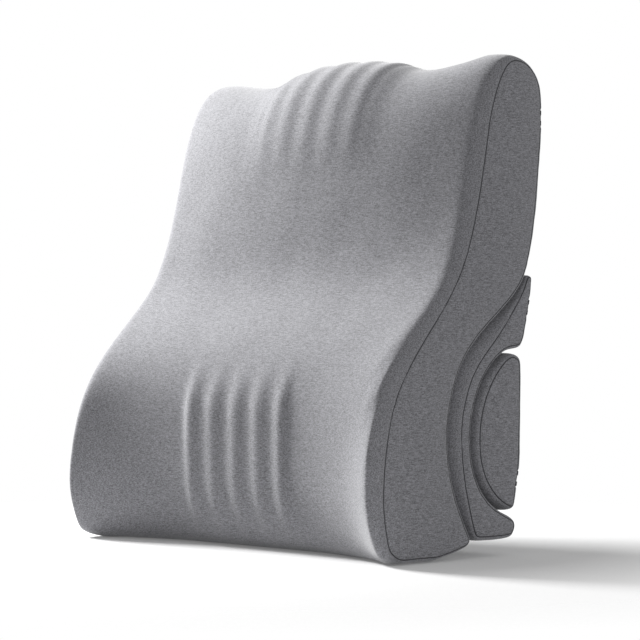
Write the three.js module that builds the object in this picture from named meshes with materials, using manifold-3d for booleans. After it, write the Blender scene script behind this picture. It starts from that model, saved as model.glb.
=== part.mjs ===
// Lumbar support cushion for an office chair: a contoured foam cushion with two nested pads behind it
// that pull off to make it thinner. Millimetres, +Z up; the sitter's back meets the -Y side.
// Each foam core wears a zipped cover of sewn panels, and hook-and-loop strips hold the pads.
import * as THREE from "three";
import { mergeVertices } from "three/addons/utils/BufferGeometryUtils.js";
import Module from "manifold-3d";

const wasm = await Module();
wasm.setup();

// ---- Driving dimensions ----
const HEIGHT = 400; // cushion's foam, base to the top of a side wing
const DEPTH = 208; // cushion's foam, lumbar front to upper back
const WIDTH = 383; // over the covers, at the base
const TOP_WIDTH = 367; // over the covers, at the top
const PAD_INSET = 3; // a pad's side from the cushion's side
const COVER = 1.2; // cover fabric with its lining
const GAP = 0.3; // between pieces that touch
const STRIP = 0.8; // hook or loop strip
const STRIP_WIDTH = 50;
const STRIP_CENTRE = 92; // from the middle of the cushion to the middle of a strip
const APART = 2 * (COVER + GAP) + 2 * STRIP + 3 * GAP; // foam to foam, across two covers and a pair of strips
const LUMBAR_HOLLOW = 35; // how far the front edge of the base is set back between the wings
const UPPER_HOLLOW = -17; // above the waist, where the middle stands proud
const HOLLOW_FADE = { from: 0.05, to: 0.85 }; // shares of HEIGHT between which it turns from one to the other
const HOLLOW_CURVE = { lumbar: 3.6, upper: 2 }; // over 2, it climbs more steeply towards the wings
const HOLLOW_REACH = 85; // along the base, behind its front edge
const CROWN = 6; // how far the middle of the top edge rises over the wings
const WING_DIP = 7; // how far the top edge dips between its middle and the wings
const OUTER_TUCK = 12; // outer pad's side seam, back from its front face
const INNER_TUCK = 6; // inner pad's side seam, back from its front face
const END_TUCK = 3; // the same at the pads' thin ends
const PAD_ROUND = 14; // where the pads' front edges start to round, in from the side
const EDGE_ANGLE = (75 * Math.PI) / 180; // the turn of a rounded edge at its seam
const ZIP_OPENING = 12; // between the two panels that a zip joins
const ZIP_BULGE = 0.2; // how far the opening's edges stand proud of the foam's line
const CHAIN = { width: 4.4, thick: 1.8, end: 24 }; // end: from the chain's end to the side
const TAPE = 0.8;
const SLIDER = { length: 9, wall: 1.3, plate: 1 };
const BAIL = { length: 6.8, width: 2, wall: 0.8 }; // the arch on the slider that holds the pull
const PULL = { length: 24, width: 6.4, thick: 1.1, slot: 4.2, play: 0.5 }; // play: sideways, on the bail
const STOP = 2.6;

// Outlines are drawn on a cushion this high and deep, and stretch to HEIGHT and DEPTH.
const DRAWN = { height: 400, depth: 208 };
const toSize = ([y, z, ...rest]) => [(y * DEPTH) / DRAWN.depth, (z * HEIGHT) / DRAWN.height, ...rest];

// ---- Foam outlines, seen from the side: y, z, tuck (side seam behind this line), round (its width) ----
const BASE = [
  [84, 9, 3, 10], [76, 6, 3, 14], [60, 2.5, 3, 14], [48, 0, 3.2, 14], [42, 0, 3.4, 14], [14, 0, 3.4, 14],
  [8, 0, 3.2, 14],
].map(toSize);
const FRONT = [
  [-6, 4, 5, 7], [-14, 16, 9, 7], [-21, 38, 12, 7], [-22, 62, 13, 7], [-17, 96, 13, 8],
  [-7, 130, 13, 11], [15, 162, 12, 12], [47, 192, 9, 11], [70, 219, 8, 11], [82, 250, 10, 12],
  [91, 285, 11, 12], [99, 325, 12, 12], [106, 354, 11, 12], [117, 378, 10, 12], [131, 394, 7, 12],
].map(toSize);
const TOP = [[147, 400, 6, 22], [166, 394, 6, 18], [177, 381, 6, 14]].map(toSize);
const BACK = [
  [180, 366, 6, 14], [178.6, 330, 6, 14], [172, 276, 6, 14], [165, 248, 5, 12], [157, 228, 3, 8],
].map(toSize);
const CUSHION_BED = [
  [150, 214, 3, 8], [135, 200, 3, 8], [118, 187, 3, 8], [97, 171, 3, 8], [80, 153, 3, 8], [69, 130, 3, 8],
  [62, 102, 3, 8], [63, 73, 3, 8], [70, 46, 3, 8], [82, 22, 3, 8], [87, 14, 3, 8],
].map(toSize);
const OUTER_FOOT = [[138, 15], [133, 12.5], [100, 12.5], [95, 13.5]].map(toSize);
const OUTER_TIP = [[159.5, 221.5], [164, 220]].map(toSize);
const OUTER_REAR = [[165.5, 214], [156, 176], [153, 168]].map(toSize);
const OUTER_BED = [
  [148, 163.5], [136, 163.5], [126, 159], [114, 150], [103, 137], [94, 119], [89, 96], [90, 73],
  [97, 55], [109, 41], [123, 33], [134, 29],
].map(toSize);
const OUTER_TOE = [[139, 26], [140, 21]].map(toSize);
const INNER_TOP = [[144, 157.5], [149, 154.5]].map(toSize);
const INNER_REAR = [[150.5, 147], [147.5, 74], [141, 44]].map(toSize);
const INNER_TOE = [[139.5, 37.5]].map(toSize);

// ---- Materials ----
const fabric = (hex) => new THREE.MeshStandardMaterial({ color: hex, roughness: 0.95, metalness: 0 });
const PANEL = fabric(0x8f9092);
const SIDE = fabric(0x7c7d80);
const FOAM = new THREE.MeshStandardMaterial({ color: 0xf0ead2, roughness: 0.9, metalness: 0 });
const TAPE_CLOTH = fabric(0x5a5b5e);
const STRIP_CLOTH = fabric(0x4b4c4f);
const NYLON = new THREE.MeshStandardMaterial({ color: 0x3d3e41, roughness: 0.5, metalness: 0 });
const METAL = new THREE.MeshStandardMaterial({ color: 0x8a8c90, roughness: 0.35, metalness: 1 });

// ---- Outline tools ----
const smooth = THREE.MathUtils.smoothstep;
const mix = THREE.MathUtils.lerp;

// Outward normals of a line that runs clockwise when seen with +Y to the right.
function normalsOf(line, closed) {
  return line.map((_, i) => {
    const before = line[closed ? (i + line.length - 1) % line.length : Math.max(i - 1, 0)];
    const after = line[closed ? (i + 1) % line.length : Math.min(i + 1, line.length - 1)];
    const turn = new THREE.Vector2(before[1] - after[1], after[0] - before[0]);
    return turn.normalize();
  });
}

// The front face of a pad that fits a bed: its seam's tuck fades to END_TUCK at both of its thin ends.
function fitToBed(line, fullTuck) {
  const normals = normalsOf(line, false);
  const front = line.map(([y, z], i) => {
    const fromEnd = Math.min(i, line.length - 1 - i);
    const tuck = mix(END_TUCK, fullTuck, smooth(fromEnd, 0, 3));
    return [y + normals[i].x * APART, z + normals[i].y * APART, tuck, PAD_ROUND];
  });
  return front.reverse();
}

const withEdge = (line, tuck, round) => line.map(([y, z]) => [y, z, tuck, round]);

// Adds the two edges of a zip's opening midway along the line's first stretch.
function withZip(line) {
  const [start, end] = line;
  const length = Math.hypot(end[0] - start[0], end[1] - start[1]);
  const [outward] = normalsOf([start, end], false);
  const edge = (side) => {
    const share = 0.5 + (side * ZIP_OPENING) / 2 / length;
    const [y, z, ...rest] = start.map((value, k) => mix(value, end[k], share));
    return [y + outward.x * ZIP_BULGE, z + outward.y * ZIP_BULGE, ...rest];
  };
  return [start, edge(-1), edge(1), ...line.slice(1)];
}

// ---- One padded body: a foam outline carried across the width, with rounded edges at its sides ----

function makeBody({ outline, inset, hollowed, middle }) {
  const normals = normalsOf(outline, true);
  const count = outline.length;
  const at = (i) => ((i % count) + count) % count;
  const halfWidth = (z) => mix(WIDTH, TOP_WIDTH, z / HEIGHT) / 2 - inset - COVER - GAP;

  function setBack(i, share) {
    if (!hollowed) return 0;
    const [y, z] = outline[i];
    const fade = smooth(z, HOLLOW_FADE.from * HEIGHT, HOLLOW_FADE.to * HEIGHT);
    const curve = mix(HOLLOW_CURVE.lumbar, HOLLOW_CURVE.upper, fade);
    const hollow = mix(LUMBAR_HOLLOW, UPPER_HOLLOW, fade) * (1 - share ** curve);
    const { x: rearward, y: upward } = normals[i];
    const baseFront = FRONT[0][0];
    const alongBase = upward < -0.4 ? 1 - smooth(y, baseFront, baseFront + HOLLOW_REACH) : 0;
    return hollow * Math.max(0, -rearward, alongBase);
  }

  function crown(i, share) {
    if (!hollowed) return 0;
    const toDip = mix(CROWN, -WING_DIP, smooth(share, 0.1, 0.65));
    const rise = share < 0.65 ? toDip : mix(-WING_DIP, 0, smooth(share, 0.65, 1));
    return rise * Math.max(0, normals[i].y) * smooth(outline[i][1], 0.9 * HEIGHT, 0.98 * HEIGHT);
  }

  // across runs from -2 to 2: to 1 over the middle of the width, from 1 to 2 over the rounded edge.
  function place(i, across) {
    const [y, z, tuck, round] = outline[at(i)];
    const share = Math.min(Math.abs(across), 1);
    const turn = Math.max(Math.abs(across) - 1, 0) * EDGE_ANGLE;
    const inward = (tuck * (1 - Math.cos(turn))) / (1 - Math.cos(EDGE_ANGLE)) - crown(at(i), share);
    const normal = normals[at(i)];
    const height = z - normal.y * inward;
    const flat = halfWidth(height) - round;
    const x = share * flat + (round * Math.sin(turn)) / Math.sin(EDGE_ANGLE);
    return new THREE.Vector3(Math.sign(across) * x, y - normal.x * inward + setBack(at(i), share), height);
  }

  function lift(i, across, height) {
    const step = 0.02;
    const along = place(i + 1, across).sub(place(i - 1, across));
    const right = place(i, Math.min(across + step, 2));
    const sideways = right.sub(place(i, Math.max(across - step, -2)));
    return place(i, across).addScaledVector(sideways.cross(along).normalize(), height);
  }

  // A point over the foam, at any place between two stations of the outline.
  function point(s, across, height) {
    const i = Math.floor(s);
    return lift(i, across, height).lerp(lift(i + 1, across, height), s - i);
  }

  const half = [...middle, ...[1, 2, 3].map((k) => 1 + k / 3)];
  const columns = [...half.slice(1).reverse().map((m) => -m), ...half];
  const acrossFor = (s, x) => {
    const [, z, , round] = outline[at(Math.round(s))];
    return x / (halfWidth(z) - round);
  };
  return { outline, count, at, halfWidth, place, point, columns, acrossFor };
}

// ---- Meshes from rows of points ----
function solid(points, faces) {
  const geometry = new THREE.BufferGeometry();
  geometry.setAttribute("position", new THREE.Float32BufferAttribute(points.flatMap((p) => p.toArray()), 3));
  geometry.setIndex(faces.flat());
  return geometry;
}

function quad(a, b, c, d) {
  return [[a, c, b], [a, d, c]];
}

function capFaces(body) {
  const ring = body.outline.map((_, i) => body.place(i, 2)).map((p) => new THREE.Vector2(p.y, p.z));
  const area = ([a, b, c]) => THREE.ShapeUtils.area([ring[a], ring[b], ring[c]]);
  const faces = THREE.ShapeUtils.triangulateShape(ring, []);
  return faces.map((face) => (area(face) > 0 ? face : [face[0], face[2], face[1]]));
}

function foamCore(body) {
  const { count, columns, place } = body;
  const points = columns.flatMap((across) => body.outline.map((_, i) => place(i, across)));
  const faces = [];
  for (let c = 0; c < columns.length - 1; c += 1) {
    for (let i = 0; i < count; i += 1) {
      const j = (i + 1) % count;
      faces.push(...quad(c * count + i, c * count + j, (c + 1) * count + j, (c + 1) * count + i));
    }
  }
  const last = (columns.length - 1) * count;
  capFaces(body).forEach(([a, b, c]) => {
    faces.push([last + a, last + b, last + c], [a, c, b]);
  });
  return solid(points, faces);
}

// A sheet over the foam from station s0 to station s1, between two heights, trimmed at both ends.
function sheet(body, { from, to, low, high, across, trim = GAP / 2 }) {
  const reach = (s, step) => body.point(s, 0, 0).distanceTo(body.point(s + step, 0, 0));
  const rows = [from + trim / reach(from, 1)];
  for (let s = Math.floor(from) + 1; s < to; s += 1) rows.push(s);
  rows.push(to - trim / reach(to, -1));
  const spread = across ?? (() => body.columns);
  const width = spread(from).length;
  const layer = (height) => rows.flatMap((s) => spread(s).map((a) => body.point(s, a, height)));
  const points = [...layer(low), ...layer(high)];
  const top = rows.length * width;
  const faces = [];
  const last = rows.length - 1;
  for (let r = 0; r < last; r += 1) {
    const edge = r * width;
    for (let c = 0; c < width - 1; c += 1) {
      const corner = edge + c;
      faces.push(...quad(top + corner, top + corner + width, top + corner + width + 1, top + corner + 1));
      faces.push(...quad(corner, corner + 1, corner + width + 1, corner + width));
    }
    const right = edge + width - 1;
    faces.push(...quad(edge, edge + width, top + edge + width, top + edge));
    faces.push(...quad(right, top + right, top + right + width, right + width));
  }
  for (let c = 0; c < width - 1; c += 1) {
    const end = last * width + c;
    faces.push(...quad(c, top + c, top + c + 1, c + 1));
    faces.push(...quad(end, end + 1, top + end + 1, top + end));
  }
  return solid(points, faces);
}

const cover = (body, from, to) => sheet(body, { from, to, low: GAP, high: GAP + COVER });

function sidePanel(body, side) {
  const ring = body.outline.map((_, i) => body.place(i, 2 * side));
  const normals = normalsOf(ring.map((p) => [p.y, p.z]), true);
  const layer = (height) => ring.map((p, i) => {
    const [y, z] = [p.y - normals[i].x * GAP, p.z - normals[i].y * GAP];
    return new THREE.Vector3(p.x + side * height, y, z);
  });
  const points = [...layer(GAP), ...layer(GAP + COVER)];
  const faces = capFaces(body).flatMap(([a, b, c]) => [
    [a, c, b],
    [body.count + a, body.count + b, body.count + c],
  ]);
  for (let i = 0; i < body.count; i += 1) {
    const j = (i + 1) % body.count;
    faces.push(...quad(i, j, body.count + j, body.count + i));
  }
  return solid(points, side > 0 ? faces : faces.map(([a, b, c]) => [a, c, b]));
}

// A hook or loop strip from one station to another, to the left (-1) or right (1) of the middle.
function strip(body, from, to, side) {
  const edges = [STRIP_CENTRE - STRIP_WIDTH / 2, STRIP_CENTRE + STRIP_WIDTH / 2].map((x) => side * x);
  const across = (s) => edges.toSorted((a, b) => a - b).map((x) => body.acrossFor(s, x));
  const low = GAP + COVER + GAP;
  return sheet(body, { from, to, low, high: low + STRIP, across, trim: GAP });
}

// ---- Booleans ----
function toManifold(geometry) {
  const bare = geometry.clone();
  bare.deleteAttribute("normal");
  bare.deleteAttribute("uv");
  const merged = mergeVertices(bare);
  const vertProperties = new Float32Array(merged.attributes.position.array);
  const triVerts = new Uint32Array(merged.index.array);
  return new wasm.Manifold(new wasm.Mesh({ numProp: 3, vertProperties, triVerts }));
}

function fromManifold(manifold) {
  const { vertProperties, triVerts } = manifold.getMesh();
  const geometry = new THREE.BufferGeometry();
  geometry.setAttribute("position", new THREE.BufferAttribute(vertProperties, 3));
  geometry.setIndex(new THREE.BufferAttribute(triVerts, 1));
  return geometry;
}

// ---- Zip, drawn as it is seen from behind: x along it, y up across the opening, z off the cover ----
const CHAIN_TOP = GAP + CHAIN.thick;
const PLATE_TOP = CHAIN_TOP + GAP + SLIDER.plate;
const PIVOT = PLATE_TOP + GAP + PULL.thick / 2;
const SLIDER_WIDTH = CHAIN.width + 2 * (GAP + SLIDER.wall);

function extrude(shape, depth) {
  return new THREE.ExtrudeGeometry(shape, { depth, bevelEnabled: false }).translate(0, 0, -depth / 2);
}

function outlineShape(corners) {
  return new THREE.Shape(corners.map(([x, y]) => new THREE.Vector2(x, y)));
}

function sliderGeometry() {
  const outer = SLIDER_WIDTH / 2;
  const inner = outer - SLIDER.wall;
  const skirt = GAP + TAPE + GAP;
  const under = PLATE_TOP - SLIDER.plate;
  const channel = extrude(
    outlineShape([
      [-outer, skirt], [-inner, skirt], [-inner, under], [inner, under],
      [inner, skirt], [outer, skirt], [outer, PLATE_TOP], [-outer, PLATE_TOP],
    ]),
    SLIDER.length,
  );
  channel.rotateX(Math.PI / 2).rotateZ(Math.PI / 2);
  const foot = BAIL.length / 2;
  const arch = PIVOT + PULL.thick / 2 + GAP;
  const sunk = PLATE_TOP - SLIDER.plate / 2;
  const bail = extrude(
    outlineShape([
      [-foot, sunk], [-foot + BAIL.wall, sunk], [-foot + BAIL.wall, arch], [foot - BAIL.wall, arch],
      [foot - BAIL.wall, sunk], [foot, sunk], [foot, arch + BAIL.wall], [-foot, arch + BAIL.wall],
    ]),
    BAIL.width,
  );
  bail.rotateX(Math.PI / 2);
  return fromManifold(toManifold(channel).add(toManifold(bail)));
}

// The pull lies flat toward -x, with its cross rod under the slider's bail.
function pullGeometry() {
  const rod = PULL.thick / 2;
  const side = PULL.width / 2;
  const corner = side / 2;
  const plate = outlineShape([
    [rod, -side], [rod, side], [-PULL.length + corner, side],
    [-PULL.length, corner], [-PULL.length, -corner], [-PULL.length + corner, -side],
  ]);
  const reach = BAIL.width / 2 + PULL.play;
  plate.holes.push(
    new THREE.Path([
      new THREE.Vector2(-rod, -reach), new THREE.Vector2(-PULL.slot, -reach),
      new THREE.Vector2(-PULL.slot, reach), new THREE.Vector2(-rod, reach),
    ]),
  );
  return extrude(plate, PULL.thick);
}

// ---- Assembly ----
const assembly = new THREE.Group();

function add(name, geometry, material) {
  const mesh = new THREE.Mesh(geometry, material);
  mesh.name = name;
  mesh.geometry.computeVertexNormals();
  assembly.add(mesh);
  return mesh;
}

// Fills the opening between stations `above` and `above + 1` with two tapes, teeth, stops, slider and pull.
function addZip(name, body, above) {
  const half = (CHAIN.width + GAP) / 2 / ZIP_OPENING;
  const tape = (from, to) => sheet(body, { from, to, low: GAP, high: GAP + TAPE });
  add(`${name}_zip_tape_upper`, tape(above, above + 0.5 - half), TAPE_CLOTH);
  add(`${name}_zip_tape_lower`, tape(above + 0.5 + half, above + 1), TAPE_CLOTH);

  const side = new THREE.Vector3(-1, 0, 0);
  const up = body.place(above, 0).sub(body.place(above + 1, 0)).normalize();
  const frame = new THREE.Matrix4().makeBasis(side, up, side.clone().cross(up));
  const foot = body.point(above + 0.5, 0, 0);
  frame.setPosition(foot);
  const fitted = (geometry, x, z) => geometry.translate(x, 0, z).applyMatrix4(frame);

  const end = body.halfWidth(foot.z) - CHAIN.end;
  const teeth = new THREE.BoxGeometry(2 * end, CHAIN.width, CHAIN.thick);
  add(`${name}_zip_teeth`, fitted(teeth, 0, GAP + CHAIN.thick / 2), NYLON);
  [["left", 1], ["right", -1]].forEach(([label, sign]) => {
    const stop = new THREE.BoxGeometry(STOP, CHAIN.width, CHAIN.thick + 2 * GAP);
    const x = sign * (end + GAP + STOP / 2);
    add(`${name}_zip_stop_${label}`, fitted(stop, x, GAP + (CHAIN.thick + 2 * GAP) / 2), METAL);
  });
  const closed = end - SLIDER.length / 2;
  add(`${name}_zip_slider`, fitted(sliderGeometry(), closed, 0), METAL);
  add(`${name}_zip_pull`, fitted(pullGeometry(), closed, PIVOT), METAL);
}

// The cushion: base, front, top, back with its zip, then the bed that the outer pad sits in.
const backLine = withZip(BACK);
const cushion = makeBody({
  outline: [...BASE, ...FRONT, ...TOP, ...backLine, ...CUSHION_BED],
  inset: 0,
  hollowed: true,
  middle: [0, 0.35, 0.6, 0.8, 0.93, 1],
});
const frontStart = BASE.length - 1;
const cushionZip = BASE.length + FRONT.length + TOP.length + 1;
const bedStart = cushion.count - CUSHION_BED.length;
add("cushion_foam_core", foamCore(cushion), FOAM);
add("cushion_front_panel", cover(cushion, frontStart, cushionZip), PANEL);
add("cushion_back_panel", cover(cushion, cushionZip + 1, cushion.count), PANEL);
add("cushion_base_panel", cover(cushion, 0, frontStart), PANEL);
add("cushion_side_panel_left", sidePanel(cushion, -1), SIDE);
add("cushion_side_panel_right", sidePanel(cushion, 1), SIDE);
add("cushion_loop_strip_left", strip(cushion, bedStart + 1, bedStart + 9, -1), STRIP_CLOTH);
add("cushion_loop_strip_right", strip(cushion, bedStart + 1, bedStart + 9, 1), STRIP_CLOTH);
addZip("cushion", cushion, cushionZip);

// The outer pad: foot, front face that fits the cushion's bed, tip, rear with its zip, and its own bed.
const outerFront = fitToBed(CUSHION_BED, OUTER_TUCK);
const outerFoot = withEdge(OUTER_FOOT, 3, 8);
const outerTip = withEdge(OUTER_TIP, 1, 8);
const outerRear = withZip(withEdge(OUTER_REAR, 3, 8));
const outerPad = makeBody({
  outline: [
    ...outerFoot, ...outerFront, ...outerTip, ...outerRear,
    ...withEdge(OUTER_BED, 2, 5), ...withEdge(OUTER_TOE, 2, 5),
  ],
  inset: PAD_INSET,
  hollowed: false,
  middle: [0, 1],
});
const outerFrontStart = outerFoot.length;
const outerZip = outerFoot.length + outerFront.length + outerTip.length + 1;
const outerBedStart = outerZip - 1 + outerRear.length;
add("outer_pad_foam_core", foamCore(outerPad), FOAM);
add("outer_pad_front_panel", cover(outerPad, outerFrontStart - 1, outerZip), PANEL);
add("outer_pad_rear_panel", cover(outerPad, outerZip + 1, outerPad.count - 1), PANEL);
add("outer_pad_base_panel", cover(outerPad, outerPad.count - 1, outerPad.count + outerFrontStart - 1), PANEL);
add("outer_pad_side_panel_left", sidePanel(outerPad, -1), SIDE);
add("outer_pad_side_panel_right", sidePanel(outerPad, 1), SIDE);
[["left", -1], ["right", 1]].forEach(([label, side]) => {
  const hook = strip(outerPad, outerFrontStart + 2, outerFrontStart + 8, side);
  const loop = strip(outerPad, outerBedStart + 3, outerBedStart + 10, side);
  add(`outer_pad_hook_strip_${label}`, hook, STRIP_CLOTH);
  add(`outer_pad_loop_strip_${label}`, loop, STRIP_CLOTH);
});
addZip("outer_pad", outerPad, outerZip);

// The inner pad: front face that fits the outer pad's bed, top, flat rear with its zip below, and toe.
const innerFront = fitToBed(OUTER_BED.slice(1), INNER_TUCK);
const innerRear = withEdge(INNER_REAR, 3, 5);
const innerZipped = [innerRear[0], ...withZip(innerRear.slice(1))];
const innerPad = makeBody({
  outline: [...withEdge(INNER_TOE, 2, 5), ...innerFront, ...withEdge(INNER_TOP, 3, 5), ...innerZipped],
  inset: PAD_INSET,
  hollowed: false,
  middle: [0, 1],
});
const innerZip = innerPad.count - innerZipped.length + 2;
const innerRearStart = innerPad.count - innerZipped.length - 1;
add("inner_pad_foam_core", foamCore(innerPad), FOAM);
add("inner_pad_front_panel", cover(innerPad, innerZip + 1, innerPad.count + innerRearStart), PANEL);
add("inner_pad_rear_panel", cover(innerPad, innerRearStart, innerZip), PANEL);
add("inner_pad_side_panel_left", sidePanel(innerPad, -1), SIDE);
add("inner_pad_side_panel_right", sidePanel(innerPad, 1), SIDE);
add("inner_pad_hook_strip_left", strip(innerPad, 3, 9, -1), STRIP_CLOTH);
add("inner_pad_hook_strip_right", strip(innerPad, 3, 9, 1), STRIP_CLOTH);
addZip("inner_pad", innerPad, innerZip);

// The origin is on the floor, under the middle of the whole cushion.
const box = new THREE.Box3().setFromObject(assembly, true);
assembly.position.set(0, -(box.min.y + box.max.y) / 2, -box.min.z);
const lumbarCushion = new THREE.Group();
lumbarCushion.add(assembly);

export default lumbarCushion;
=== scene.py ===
import math

import bmesh
import bpy
from mathutils import Matrix, Vector, kdtree, noise
from mathutils.bvhtree import BVHTree


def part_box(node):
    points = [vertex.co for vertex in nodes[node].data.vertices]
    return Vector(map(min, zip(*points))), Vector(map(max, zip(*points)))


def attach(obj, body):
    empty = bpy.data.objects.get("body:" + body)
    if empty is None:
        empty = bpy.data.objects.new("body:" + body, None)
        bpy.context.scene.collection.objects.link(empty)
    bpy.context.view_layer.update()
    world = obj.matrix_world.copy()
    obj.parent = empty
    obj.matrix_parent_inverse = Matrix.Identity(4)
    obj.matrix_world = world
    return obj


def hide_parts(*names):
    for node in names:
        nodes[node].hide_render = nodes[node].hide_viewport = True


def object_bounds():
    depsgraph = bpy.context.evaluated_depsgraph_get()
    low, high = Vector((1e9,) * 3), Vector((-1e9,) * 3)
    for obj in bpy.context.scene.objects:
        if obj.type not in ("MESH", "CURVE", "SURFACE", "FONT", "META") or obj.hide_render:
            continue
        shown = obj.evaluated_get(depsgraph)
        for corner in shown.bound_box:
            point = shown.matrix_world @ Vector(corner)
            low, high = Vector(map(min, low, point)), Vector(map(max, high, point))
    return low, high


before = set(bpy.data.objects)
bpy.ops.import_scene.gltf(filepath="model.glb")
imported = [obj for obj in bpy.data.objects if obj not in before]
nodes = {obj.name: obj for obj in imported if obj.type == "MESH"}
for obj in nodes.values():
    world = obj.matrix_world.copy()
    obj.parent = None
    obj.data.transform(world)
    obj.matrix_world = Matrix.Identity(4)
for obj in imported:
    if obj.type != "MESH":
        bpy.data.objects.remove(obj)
cad_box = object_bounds()


# ---- The knit cover ----
# A polyester jersey in a grey melange, brushed and slightly hairy. Light and dark fibres are spun
# together, so each course shows short streaks, and the face is matt with a soft bloom at the edges.
MM = 0.001
LIGHT_YARN = "#97979c"
DARK_YARN = "#5b5b5e"
STREAK_LONG = 5 * MM  # a streak of one shade, along the course
STREAK_HIGH = 0.7 * MM  # a course and a half; real courses are 0.5 mm, too fine to show
FLECK = 0.9 * MM


def srgb(code):
    parts = [int(code[i : i + 2], 16) / 255 for i in (1, 3, 5)]
    return (*[p / 12.92 if p < 0.04045 else ((p + 0.055) / 1.055) ** 2.4 for p in parts], 1)


def add_node(tree, kind, settings=(), links=()):
    node = tree.nodes.new(kind)
    for name, value in dict(settings).items():
        if hasattr(node, name):
            setattr(node, name, value)
        else:
            node.inputs[name].default_value = value
    for name, socket in dict(links).items():
        tree.links.new(socket, node.inputs[name])
    return node


def new_material(name, colour, roughness):
    material = bpy.data.materials.new(name)
    material.use_nodes = True
    shader = material.node_tree.nodes["Principled BSDF"]
    shader.inputs["Base Color"].default_value = srgb(colour)
    shader.inputs["Roughness"].default_value = roughness
    return material, material.node_tree, shader


def ramp(tree, factor, stops):
    node = add_node(tree, "ShaderNodeValToRGB", links={"Fac": factor})
    elements = node.color_ramp.elements
    for k, (place, colour) in enumerate(stops):
        element = elements[k] if k < 2 else elements.new(place)
        element.position = place
        element.color = srgb(colour)
    return node.outputs["Color"]


def knit(name, along, light=LIGHT_YARN, dark=DARK_YARN):
    material, tree, shader = new_material(name, light, 0.88)
    shader.inputs["Sheen Weight"].default_value = 0.35
    shader.inputs["Sheen Roughness"].default_value = 0.45
    shader.inputs["Specular IOR Level"].default_value = 0.2
    place = add_node(tree, "ShaderNodeTexCoord").outputs["Object"]
    size = [STREAK_LONG if axis == along else STREAK_HIGH for axis in "XYZ"]
    streaks = add_node(
        tree, "ShaderNodeMapping", {"Scale": [1 / s for s in size]}, {"Vector": place}
    )
    fibre = add_node(
        tree, "ShaderNodeTexNoise", {"Scale": 1.0, "Detail": 3.0, "Roughness": 0.65},
        {"Vector": streaks.outputs["Vector"]},
    )
    fleck = add_node(
        tree, "ShaderNodeTexNoise", {"Scale": 1 / FLECK, "Detail": 2.0, "Roughness": 0.6},
        {"Vector": place},
    )
    blend = add_node(
        tree, "ShaderNodeMix", {"data_type": "FLOAT", "Factor": 0.5},
        {"A": fibre.outputs["Fac"], "B": fleck.outputs["Fac"]},
    )
    colour = ramp(tree, blend.outputs["Result"], [(0.38, dark), (0.62, light)])
    tree.links.new(colour, shader.inputs["Base Color"])
    bump = add_node(
        tree, "ShaderNodeBump", {"Strength": 0.35, "Distance": 0.3 * MM},
        {"Height": blend.outputs["Result"]},
    )
    tree.links.new(bump.outputs["Normal"], shader.inputs["Normal"])
    return material


front_knit = knit("melange_jersey_wrap", "X")
side_knit = knit("melange_jersey_side", "Y")


# ---- The padded bodies ----
# Foam in a sewn cover: one long wrap of knit round the outline, closed at each side by a flat panel.
# The wrap is turned in along its side seams, and every seam pulls a shallow groove in the foam.
PANEL_TAGS = {"wrap": 0, "side": 1, "zip": 2}
SEAM_DEPTH = 1.3 * MM
SEAM_REACH = 1.7 * MM
PUCKER = 0.35 * MM
SIDE_CELL = 7 * MM
SEAM_TURNS = (0.7 * MM, 1.2 * MM)  # the rows of fine cells inside each side seam
CROWN_REACH = 18 * MM
PUCKER_REACH = 9 * MM
PUCKER_PER_M = 140
ZIP_SINK = 1.0 * MM
LOOSENESS = 0.5 * MM  # the cover's slow waves over the foam
WAVES_PER_M = 22


def loose_copy(node_name):
    bm = bmesh.new()
    bm.from_mesh(nodes[node_name].data)
    bmesh.ops.remove_doubles(bm, verts=bm.verts, dist=0.01 * MM)
    return bm


def cover_thickness(body):
    foam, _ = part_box(f"{body}_foam_core")
    wrap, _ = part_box(f"{body}_front_panel")
    return foam.y - wrap.y


def wrap_cage(body):
    """The foam's outline without its two flat ends, as quads, lifted to the cover's outer face."""
    bm = loose_copy(f"{body}_foam_core")
    bmesh.ops.recalc_face_normals(bm, faces=bm.faces)
    ends = [f for f in bm.faces if abs(f.normal.x) > 0.985]
    bmesh.ops.delete(bm, geom=ends, context="FACES")

    def longest(face):
        return max(face.edges, key=lambda edge: edge.calc_length())

    diagonals = {longest(f) for f in bm.faces}
    shared = [
        e for e in diagonals
        if len(e.link_faces) == 2 and all(longest(f) == e for f in e.link_faces)
    ]
    bmesh.ops.dissolve_edges(bm, edges=shared)
    bm.normal_update()
    lift = cover_thickness(body)
    for vert in bm.verts:
        vert.co += vert.normal * lift
    return bm


def tag_zip(bm, body):
    """Marks the faces of the cage that a zip's opening takes."""
    tapes = [BVHTree.FromBMesh(loose_copy(f"{body}_zip_tape_{side}")) for side in ("upper", "lower")]
    others = [n for n in nodes if n.startswith(body) and n.endswith("_panel")]
    panels = [BVHTree.FromBMesh(loose_copy(n)) for n in others]
    for face in bm.faces:
        centre = face.calc_center_median()
        to_tape = min(tree.find_nearest(centre)[3] for tree in tapes)
        to_panel = min(tree.find_nearest(centre)[3] for tree in panels)
        face.material_index = PANEL_TAGS["zip"] if to_tape < to_panel else PANEL_TAGS["wrap"]


def subdivided(bm, levels):
    mesh = bpy.data.meshes.new("cage")
    bm.to_mesh(mesh)
    bm.free()
    cage = bpy.data.objects.new("cage", mesh)
    bpy.context.collection.objects.link(cage)
    modifier = cage.modifiers.new("smooth", "SUBSURF")
    modifier.levels = modifier.render_levels = levels
    smooth = bpy.data.meshes.new_from_object(cage.evaluated_get(bpy.context.evaluated_depsgraph_get()))
    fine = bmesh.new()
    fine.from_mesh(smooth)
    bpy.data.objects.remove(cage)
    return fine


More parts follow.
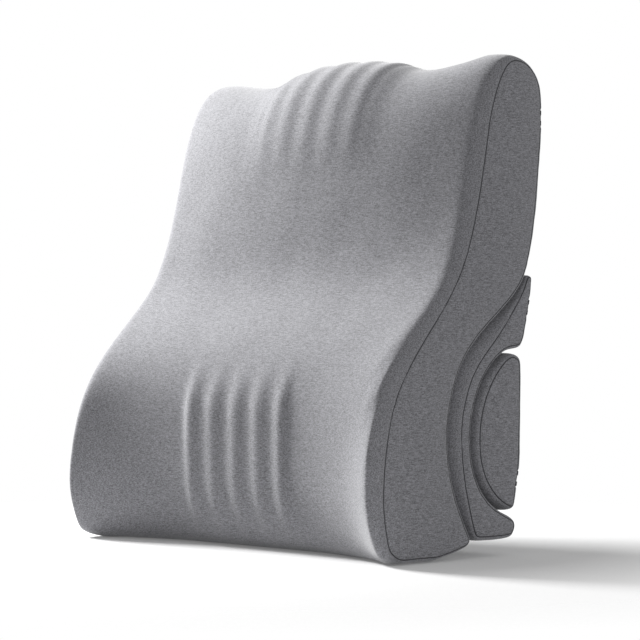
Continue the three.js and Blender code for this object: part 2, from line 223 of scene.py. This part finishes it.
def close_sides(bm):
    """Fills both side openings, then cuts each panel into cells fine enough to crown."""
    rims = [e for e in bm.edges if e.is_boundary]
    panels = bmesh.ops.edgeloop_fill(bm, edges=rims, mat_nr=PANEL_TAGS["side"])["faces"]
    for width in SEAM_TURNS:
        bmesh.ops.inset_region(bm, faces=panels, thickness=width, use_even_offset=True)
    for panel in panels:
        spots = [v.co for v in panel.verts]
        patch = [panel]
        for axis in (1, 2):
            start = min(s[axis] for s in spots)
            count = int((max(s[axis] for s in spots) - start) / SIDE_CELL)
            normal = Vector((0, 0, 0))
            normal[axis] = 1
            for k in range(1, count + 1):
                point = Vector((0, 0, 0))
                point[axis] = start + k * SIDE_CELL
                edges = {e for f in patch for e in f.edges}
                verts = {v for f in patch for v in f.verts}
                cut = bmesh.ops.bisect_plane(
                    bm, geom=[*patch, *edges, *verts], plane_co=point, plane_no=normal, dist=0.05 * MM
                )
                patch = [g for g in cut["geom"] if isinstance(g, bmesh.types.BMFace)]
    bmesh.ops.recalc_face_normals(bm, faces=bm.faces)


def seam_points(bm):
    """A point at each vertex where two panels of the cover meet."""
    edges = [e for e in bm.edges if len({f.material_index for f in e.link_faces}) > 1]
    return [v.co.copy() for v in {v for e in edges for v in e.verts}]


def tree_of(points):
    tree = kdtree.KDTree(len(points))
    for k, point in enumerate(points):
        tree.insert(point, k)
    tree.balance()
    return tree


def pull_seams(bm, crown, sculpt):
    """Crowns the side panels, adds the body's own relief, then pulls every seam in."""
    tree = tree_of(seam_points(bm))
    bm.normal_update()
    moves = []
    for vert in bm.verts:
        tags = {f.material_index for f in vert.link_faces}
        reach = tree.find(vert.co)[2]
        push = sculpt(vert)
        if tags == {PANEL_TAGS["side"]}:
            push += crown * (1 - math.exp(-((reach / CROWN_REACH) ** 2)))
        if tags == {PANEL_TAGS["zip"]}:
            push -= ZIP_SINK
        pucker = noise.noise(vert.co * PUCKER_PER_M) * math.exp(-reach / PUCKER_REACH) * PUCKER
        push += pucker - SEAM_DEPTH * math.exp(-((reach / SEAM_REACH) ** 2))
        push += LOOSENESS * noise.noise(vert.co * WAVES_PER_M)
        moves.append((vert, vert.normal * push))
    for vert, move in moves:
        vert.co += move


def finish_piece(bm, name, materials, body, replaced=()):
    mesh = bpy.data.meshes.new(name)
    bm.to_mesh(mesh)
    bm.free()
    for material in materials:
        mesh.materials.append(material)
    mesh.shade_smooth()
    piece = bpy.data.objects.new(name, mesh)
    bpy.context.collection.objects.link(piece)
    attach(piece, body)
    if replaced:
        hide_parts(*replaced)
    return piece


def side_loops(bm):
    """The rim of each side panel, as a ring of points."""
    def side_faces(edge):
        return sum(f.material_index == PANEL_TAGS["side"] for f in edge.link_faces)

    rim = {e for e in bm.edges if side_faces(e) == 1}
    loops = []
    while rim:
        edge = rim.pop()
        first, vert = edge.verts
        loop = [first.co.copy()]
        while vert != first:
            loop.append(vert.co.copy())
            edge = next(e for e in vert.link_edges if e in rim)
            rim.discard(edge)
            vert = edge.other_vert(vert)
        loops.append(loop)
    return loops


seams = {}


def padded_body(body, levels, crown, sculpt):
    cage = wrap_cage(body)
    tag_zip(cage, body)
    bm = subdivided(cage, levels)
    close_sides(bm)
    pull_seams(bm, crown, sculpt)
    seams[body] = side_loops(bm)
    soft = [n for n in nodes if n.startswith(body) and n.endswith(("_panel", "foam_core"))]
    soft += [f"{body}_side_panel_{side}" for side in ("left", "right")]
    piece = finish_piece(bm, f"{body}_cover", [front_knit, side_knit, front_knit], body, soft)
    return piece


# ---- The cushion ----
# A tall slab of moulded foam. Five upright ribs run down the middle of the lumbar. At the top the
# middle stands proud between soft flanks, with shallower ribs that run over the edge.
CUSHION_CROWN = 3 * MM
RIB_START = (0, 45 * MM)  # heights over which the lumbar ribs rise, and die away
RIB_END = (112 * MM, 160 * MM)
HEADREST_START = (300 * MM, 350 * MM)
RIB_PITCH = 28 * MM
RIB_COUNT = 5
RIB_HEIGHT = 3.2 * MM
RIB_GROOVE = 2.0 * MM
HEADREST = {
    "stand": 1.6 * MM, "from": 40 * MM, "to": 86 * MM, "top_stand": 3.4 * MM, "top_dip": 2.8 * MM,
    "out": 150 * MM, "groove": 0.5 * MM, "top_groove": 1.6 * MM,
}


def ease(value, start, end):
    share = min(max((value - start) / (end - start), 0), 1)
    return share * share * (3 - 2 * share)


def cushion_relief(vert):
    x, _, z = vert.co
    facing = max(0, -vert.normal.y)
    upward = max(0, vert.normal.z)
    half = RIB_COUNT * RIB_PITCH / 2
    ribbed = 1 - ease(abs(x), half - 0.5 * RIB_PITCH, half)
    valley = 0.5 - 0.5 * math.cos(2 * math.pi * x / RIB_PITCH)
    lower = ease(z, *RIB_START) * (1 - ease(z, *RIB_END))
    upper = ease(z, *HEADREST_START)
    raised = 1 - ease(abs(x), HEADREST["from"], HEADREST["to"])
    sunk = (1 - raised) * (1 - ease(abs(x), HEADREST["to"], HEADREST["out"]))
    push = ribbed * (RIB_HEIGHT - RIB_GROOVE * valley) * lower * facing
    push += raised * upper * (HEADREST["stand"] * facing + HEADREST["top_stand"] * upward)
    push -= sunk * upper * HEADREST["top_dip"] * upward
    push -= ribbed * valley * upper * (HEADREST["groove"] * facing + HEADREST["top_groove"] * upward)
    return push


cushion_cover = padded_body("cushion", 4, CUSHION_CROWN, cushion_relief)

# ---- The two pads ----
# The outer pad is a crescent of foam that beds in the cushion's hollow back, and the inner pad fills
# the crescent. Both wear the same knit, with a narrow turned edge in front of each side seam.
OUTER_PAD_CROWN = 0.8 * MM
INNER_PAD_CROWN = 1.5 * MM
outer_pad_cover = padded_body("outer_pad", 3, OUTER_PAD_CROWN, lambda vert: 0)
inner_pad_cover = padded_body("inner_pad", 3, INNER_PAD_CROWN, lambda vert: 0)

# ---- Seam shadow cords ----
# The side panels are sewn in from the inside, so no stitching shows. A thin dark cord laid at the bottom
# of each seam's groove is painted shadow: it draws the seam's shade as one fine dark line.
SEAM_SHADOW_CORD_RADIUS = 0.45 * MM
# painted shadow: the cord's dark colour stands in for the shade inside each seam
SEAM_SHADOW_COLOUR = "#38383b"
seam_shadow_material, _, _ = new_material("painted_seam_shadow_cord", SEAM_SHADOW_COLOUR, 0.7)


def seam_shadow_ring(points, radius):
    curve = bpy.data.curves.new("shade_cord", "CURVE")
    curve.dimensions = "3D"
    curve.bevel_depth = radius
    curve.bevel_resolution = 1
    spline = curve.splines.new("POLY")
    spline.points.add(len(points) - 1)
    for spot, point in zip(spline.points, points):
        spot.co = (*point, 1)
    spline.use_cyclic_u = True
    strand = bpy.data.objects.new("strand", curve)
    bpy.context.collection.objects.link(strand)
    mesh = bpy.data.meshes.new_from_object(strand.evaluated_get(bpy.context.evaluated_depsgraph_get()))
    bpy.data.objects.remove(strand)
    return mesh


for body, loops in seams.items():
    bm = bmesh.new()
    for loop in loops:
        bm.from_mesh(seam_shadow_ring(loop, SEAM_SHADOW_CORD_RADIUS))
    bmesh.ops.remove_doubles(bm, verts=bm.verts, dist=0.01 * MM)
    # each body's painted seam shadow, as one piece of dark cord
    shade_cord = finish_piece(bm, f"{body}_seam_shadow_line", [seam_shadow_material], body)

# ---- Hook and loop strips ----
# Nylon tape sewn on the backs of the cushion and the outer pad, with its mate on the front of the
# pad behind. The loop side is a dark brushed pile, and the hook side has rows of short bristles.
STRIP_THICK = 0.8 * MM
STRIP_LIFT = 0.2 * MM
STRIP_SEARCH = 4 * MM  # the cover faces this near the strip carry it
LOOP_PILE = 0.9 * MM
HOOK_PITCH = 1.6 * MM


def strip_tape(name, dark, light, scale, strength):
    material, tree, shader = new_material(name, dark, 0.9)
    shader.inputs["Sheen Weight"].default_value = 0.3
    shader.inputs["Sheen Roughness"].default_value = 0.6
    place = add_node(tree, "ShaderNodeTexCoord").outputs["Object"]
    cells = add_node(
        tree, "ShaderNodeTexVoronoi", {"Scale": 1 / scale, "Randomness": 0.55}, {"Vector": place}
    )
    colour = ramp(tree, cells.outputs["Distance"], [(0.1, light), (0.7, dark)])
    tree.links.new(colour, shader.inputs["Base Color"])
    bump = add_node(
        tree, "ShaderNodeBump", {"Strength": strength, "Distance": 0.6 * MM, "invert": True},
        {"Height": cells.outputs["Distance"]},
    )
    tree.links.new(bump.outputs["Normal"], shader.inputs["Normal"])
    return material


loop_tape = strip_tape("brushed_nylon_loop_tape", "#2c2c2f", "#4a4a4e", LOOP_PILE, 0.7)
hook_tape = strip_tape("moulded_nylon_hook_tape", "#1f1f21", "#4c4c50", HOOK_PITCH, 0.9)


def strip_from_cover(cover, node_name, material, body):
    """A band of the cover's own surface, lifted and thickened into a tape."""
    low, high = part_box(node_name)
    target = BVHTree.FromBMesh(loose_copy(node_name))
    bm = bmesh.new()
    bm.from_mesh(cover.data)
    for axis in (0, 2):
        for corner in (low, high):
            normal = Vector((0, 0, 0))
            normal[axis] = 1
            geom = [*bm.verts, *bm.edges, *bm.faces]
            bmesh.ops.bisect_plane(bm, geom=geom, plane_co=corner, plane_no=normal, dist=0.02 * MM)
    away = []
    for face in bm.faces:
        centre = face.calc_center_median()
        inside = low.x < centre.x < high.x and low.z < centre.z < high.z
        if not inside or target.find_nearest(centre)[3] > STRIP_SEARCH or abs(face.normal.x) > 0.7:
            away.append(face)
    bmesh.ops.delete(bm, geom=away, context="FACES")
    for vert in bm.verts:
        vert.co += vert.normal * STRIP_LIFT
    for face in bm.faces:
        face.material_index = 0
    bmesh.ops.solidify(bm, geom=bm.faces[:], thickness=-STRIP_THICK)
    bmesh.ops.recalc_face_normals(bm, faces=bm.faces)
    strip = finish_piece(bm, f"{node_name}_tape", [material], body, [node_name])


for side in ("left", "right"):
    strip_from_cover(cushion_cover, f"cushion_loop_strip_{side}", loop_tape, "cushion")
    strip_from_cover(outer_pad_cover, f"outer_pad_loop_strip_{side}", loop_tape, "outer_pad")
    strip_from_cover(outer_pad_cover, f"outer_pad_hook_strip_{side}", hook_tape, "outer_pad")
    strip_from_cover(inner_pad_cover, f"inner_pad_hook_strip_{side}", hook_tape, "inner_pad")

# ---- Zips ----
# A nylon coil zip across the back of each cover: two woven tapes, a coil of interlocked loops, a
# pressed end stop at each end, and a die-cast slider with a hinged pull, plated dark.
COIL_PITCH = 1.5 * MM
COIL_WIDTH = 4.4 * MM
COIL_WIRE = 0.55 * MM
COIL_EDGE = 0.15 * MM
TAPE_RIB = 1.2 * MM
TAPE_EDGE = 0.15 * MM
ZINC_EDGE = 0.25 * MM
tape_weave, tape_tree, tape_shader = new_material("woven_polyester_tape", "#505054", 0.85)
tape_place = add_node(tape_tree, "ShaderNodeTexCoord").outputs["Object"]
tape_ribs = add_node(
    tape_tree, "ShaderNodeTexWave",
    {"wave_type": "BANDS", "bands_direction": "X", "Scale": math.pi / 10 / TAPE_RIB, "Distortion": 0.4},
    {"Vector": tape_place},
)
tape_colour = ramp(tape_tree, tape_ribs.outputs["Fac"], [(0.2, "#47474b"), (0.8, "#5a5a5f")])
tape_tree.links.new(tape_colour, tape_shader.inputs["Base Color"])
tape_bump = add_node(
    tape_tree, "ShaderNodeBump", {"Strength": 0.5, "Distance": 0.2 * MM},
    {"Height": tape_ribs.outputs["Fac"]},
)
tape_tree.links.new(tape_bump.outputs["Normal"], tape_shader.inputs["Normal"])

coil_nylon, _, _ = new_material("drawn_nylon_coil", "#3a3a3e", 0.38)
zinc, zinc_tree, zinc_shader = new_material("plated_zinc_die_cast", "#6d6d72", 0.32)
zinc_shader.inputs["Metallic"].default_value = 1.0
zinc_place = add_node(zinc_tree, "ShaderNodeTexCoord").outputs["Object"]
zinc_wear = add_node(
    zinc_tree, "ShaderNodeTexNoise", {"Scale": 1 / (2.5 * MM), "Detail": 4.0}, {"Vector": zinc_place}
)
zinc_gloss = add_node(
    zinc_tree, "ShaderNodeMapRange", {"To Min": 0.25, "To Max": 0.5}, {"Value": zinc_wear.outputs["Fac"]}
)
zinc_tree.links.new(zinc_gloss.outputs["Result"], zinc_shader.inputs["Roughness"])


def zip_frame(body):
    """The chain's middle, and its axes: along it, up the cover, and out of the cover."""
    bm = loose_copy(f"{body}_zip_teeth")
    outward = max(bm.faces, key=lambda f: f.calc_area() if f.normal.y > 0.5 else 0).normal.copy()
    middle = sum((v.co for v in bm.verts), Vector()) / len(bm.verts)
    bm.free()
    along = Vector((1, 0, 0))
    return Matrix((along, outward.cross(along), outward)).transposed().to_4x4(), middle


def softened(node_name, width, material, body):
    """A copy of a hard piece with its edges broken."""
    bm = loose_copy(node_name)
    bmesh.ops.dissolve_limit(bm, angle_limit=math.radians(1), verts=bm.verts, edges=bm.edges)
    bmesh.ops.recalc_face_normals(bm, faces=bm.faces)
    sharp = [e for e in bm.edges if e.calc_face_angle(0) > math.radians(30)]
    bmesh.ops.bevel(
        bm, geom=sharp, offset=width, segments=2, profile=0.5, affect="EDGES", material=-1,
        clamp_overlap=True,
    )
    return finish_piece(bm, f"{node_name}_finished", [material], body, [node_name])


for body in ("cushion", "outer_pad", "inner_pad"):
    turn, middle = zip_frame(body)
    low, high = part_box(f"{body}_zip_teeth")
    bm = bmesh.new()
    count = int((high.x - low.x) / COIL_PITCH)
    for k in range(count):
        along = low.x + (k + 0.5) * COIL_PITCH
        for side in (-1, 1):
            loop = bmesh.ops.create_cube(bm, size=1)["verts"]
            size = Vector((COIL_WIRE * 1.2, COIL_WIDTH * 0.62, COIL_WIRE * 2.2))
            bmesh.ops.scale(bm, vec=size, verts=loop)
            outer = [v for v in loop if v.co.y * side > 0]
            bmesh.ops.scale(bm, vec=(1, 1, 0.6), verts=outer)
            shift = Vector((side * COIL_PITCH / 4, side * COIL_WIDTH * 0.19, 0))
            bmesh.ops.translate(bm, vec=shift, verts=loop)
            edges = list({e for v in loop for e in v.link_edges})
            made = bmesh.ops.bevel(
                bm, geom=edges, offset=COIL_EDGE, segments=1, profile=0.5, affect="EDGES", material=-1
            )
            loop = list({v for f in made["faces"] for v in f.verts})
            bmesh.ops.transform(bm, matrix=turn, verts=loop)
            place = Vector((along, middle.y, middle.z))
            bmesh.ops.translate(bm, vec=place, verts=loop)
    coil = finish_piece(bm, f"{body}_zip_coil", [coil_nylon], body, [f"{body}_zip_teeth"])
    for part in ("zip_tape_upper", "zip_tape_lower"):
        tape = softened(f"{body}_{part}", TAPE_EDGE, tape_weave, body)
    for part, rider in (
        ("zip_stop_left", body), ("zip_stop_right", body),
        ("zip_slider", f"{body}_zip_slider"), ("zip_pull", f"{body}_zip_pull"),
    ):
        metal = softened(f"{body}_{part}", ZINC_EDGE, zinc, rider)

# ---- Stage, light and camera ----
# A pale floor under an even white sky, with a soft key light from the left and a weak fill from
# the right. The floor fades out into the sky.
SKY_FILL = 0.4
KEY_PLACE = Vector((-1.13, -0.2, 0.82))
KEY_POWER = 48
KEY_SIZE = 0.42
FILL_PLACE = Vector((1.6, 0.1, 0.5))
FILL_POWER = 5.5
FILL_SIZE = 1.2
FLOOR_FADE = (0.25, 0.6)  # the paper sweeps away into the white sky
bpy.ops.mesh.primitive_plane_add(size=4)
floor = bpy.context.object
floor.name = "floor"
floor_paper, floor_tree, floor_shader = new_material("matt_white_paper", "#cfcfcf", 0.9)
floor_shader.inputs["Emission Color"].default_value = (1, 1, 1, 1)
floor_shader.inputs["Emission Strength"].default_value = 0.12
floor_place = add_node(floor_tree, "ShaderNodeTexCoord").outputs["Object"]
from_middle = add_node(floor_tree, "ShaderNodeVectorMath", {"operation": "LENGTH"}, {0: floor_place})
fade = add_node(
    floor_tree, "ShaderNodeMapRange",
    {"From Min": FLOOR_FADE[0], "From Max": FLOOR_FADE[1], "To Min": 1, "To Max": 0},
    {"Value": from_middle.outputs["Value"]},
)
floor_tree.links.new(fade.outputs["Result"], floor_shader.inputs["Alpha"])
floor.data.materials.append(floor_paper)

scene = bpy.context.scene
scene.view_settings.view_transform = "Standard"
world = bpy.data.worlds.new("sky")
world.use_nodes = True
sky = world.node_tree
sky.nodes["Background"].inputs["Strength"].default_value = SKY_FILL
seen_sky = add_node(sky, "ShaderNodeBackground", {"Color": (1, 1, 1, 1), "Strength": 1.0})
straight = add_node(sky, "ShaderNodeLightPath")
sky.nodes["Background"].inputs["Color"].default_value = (1, 1, 1, 1)
either = add_node(
    sky, "ShaderNodeMixShader", links={0: straight.outputs["Is Camera Ray"],
    1: sky.nodes["Background"].outputs[0], 2: seen_sky.outputs[0]},
)
sky.links.new(either.outputs[0], sky.nodes["World Output"].inputs["Surface"])
scene.world = world


def softbox(name, place, target, size, power):
    data = bpy.data.lights.new(name, "AREA")
    data.size = size
    data.energy = power
    lamp = bpy.data.objects.new(name, data)
    bpy.context.collection.objects.link(lamp)
    lamp.location = place
    lamp.rotation_euler = (Vector(target) - Vector(place)).to_track_quat("-Z", "Y").to_euler()


softbox("key", KEY_PLACE, (0, 0, 0.2), KEY_SIZE, KEY_POWER)
softbox("fill", FILL_PLACE, (0, 0, 0.2), FILL_SIZE, FILL_POWER)

CAMERA_TURN = math.radians(47)
CAMERA_PITCH = math.radians(0.49)
camera = bpy.data.objects.new("camera", bpy.data.cameras.new("camera"))
bpy.context.collection.objects.link(camera)
camera.location = (1.4574, cad_box[1].y - 1.4425, 0.1706)
camera.rotation_euler = (math.radians(90) + CAMERA_PITCH, 0, CAMERA_TURN)
camera.data.lens = 133.3
camera.data.sensor_width = 36
scene.camera = camera
